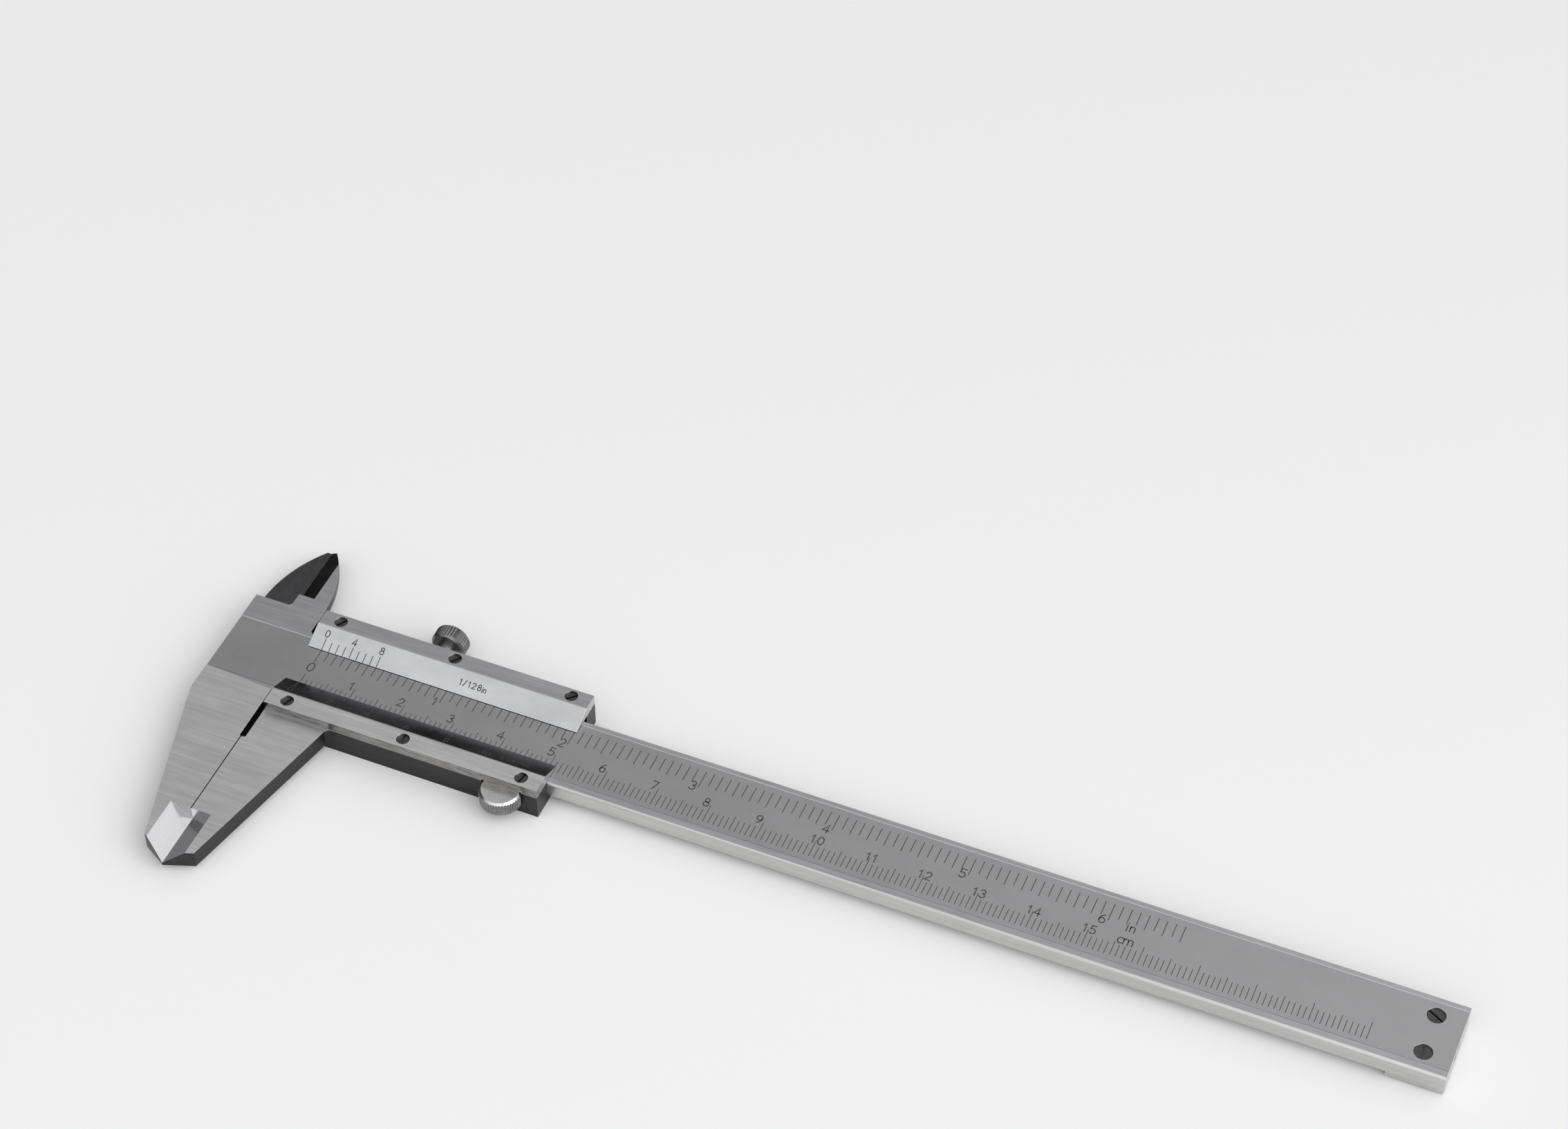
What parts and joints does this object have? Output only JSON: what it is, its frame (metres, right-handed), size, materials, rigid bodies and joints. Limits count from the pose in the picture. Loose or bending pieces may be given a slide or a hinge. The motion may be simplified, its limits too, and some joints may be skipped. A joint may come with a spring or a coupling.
{
  "type": "vernier caliper",
  "caption": "Sliding vernier caliper with outside and inside jaws, inch and millimetre vernier plates, lock screw, thumb rest and depth rod.",
  "frame": {"origin": "middle of the footprint with the jaws closed, on the plane of the slider's back face", "axes": "+X along the beam from the jaws to the tail, +Y towards the inside jaws, +Z out of the scale face"},
  "size_m": [0.232, 0.0764, 0.0072],
  "materials": {
    "beam_chrome": "satin chrome scale face, brushed rails and jaws",
    "ground_steel": "ground along the jaws, fine brushed lines",
    "plate_chrome": "satin chrome slanted face, brushed flat band",
    "dark_screws": "blackened, slotted",
    "gib_brass": "plain",
    "knurled_steel": "turned and straight knurled",
    "rod_steel": "drawn, bright",
    "scale_ink": "matt black filled engraving"
  },
  "bodies": {
    "fixed_beam": {"beam": "beam_chrome", "end_stop_plate": "rod_steel", "end_stop_screws": "dark_screws"},
    "slider": {"slider_body": "ground_steel", "inch_vernier_plate": "plate_chrome", "metric_vernier_plate": "plate_chrome", "inch_plate_screws": "dark_screws", "metric_plate_screws": "dark_screws", "gib_strip": "gib_brass", "gib_set_screws": "dark_screws", "thumb_rest": "knurled_steel", "depth_rod": "rod_steel", "depth_rod_rivets": "rod_steel"},
    "lock": {"lock_screw": "knurled_steel"}
  },
  "joints": [
    {"name": "slider_travel", "type": "slide", "parent": "fixed_beam", "child": "slider", "axis": [1, 0, 0], "range_m": [0, 0.153]},
    {"name": "lock_screw_turn", "type": "hinge", "parent": "slider", "child": "lock", "pos_m": [-0.0784, 0.0234, 0.00328], "axis": [0, 1, 0], "range_deg": [-80, 180]}
  ]
}
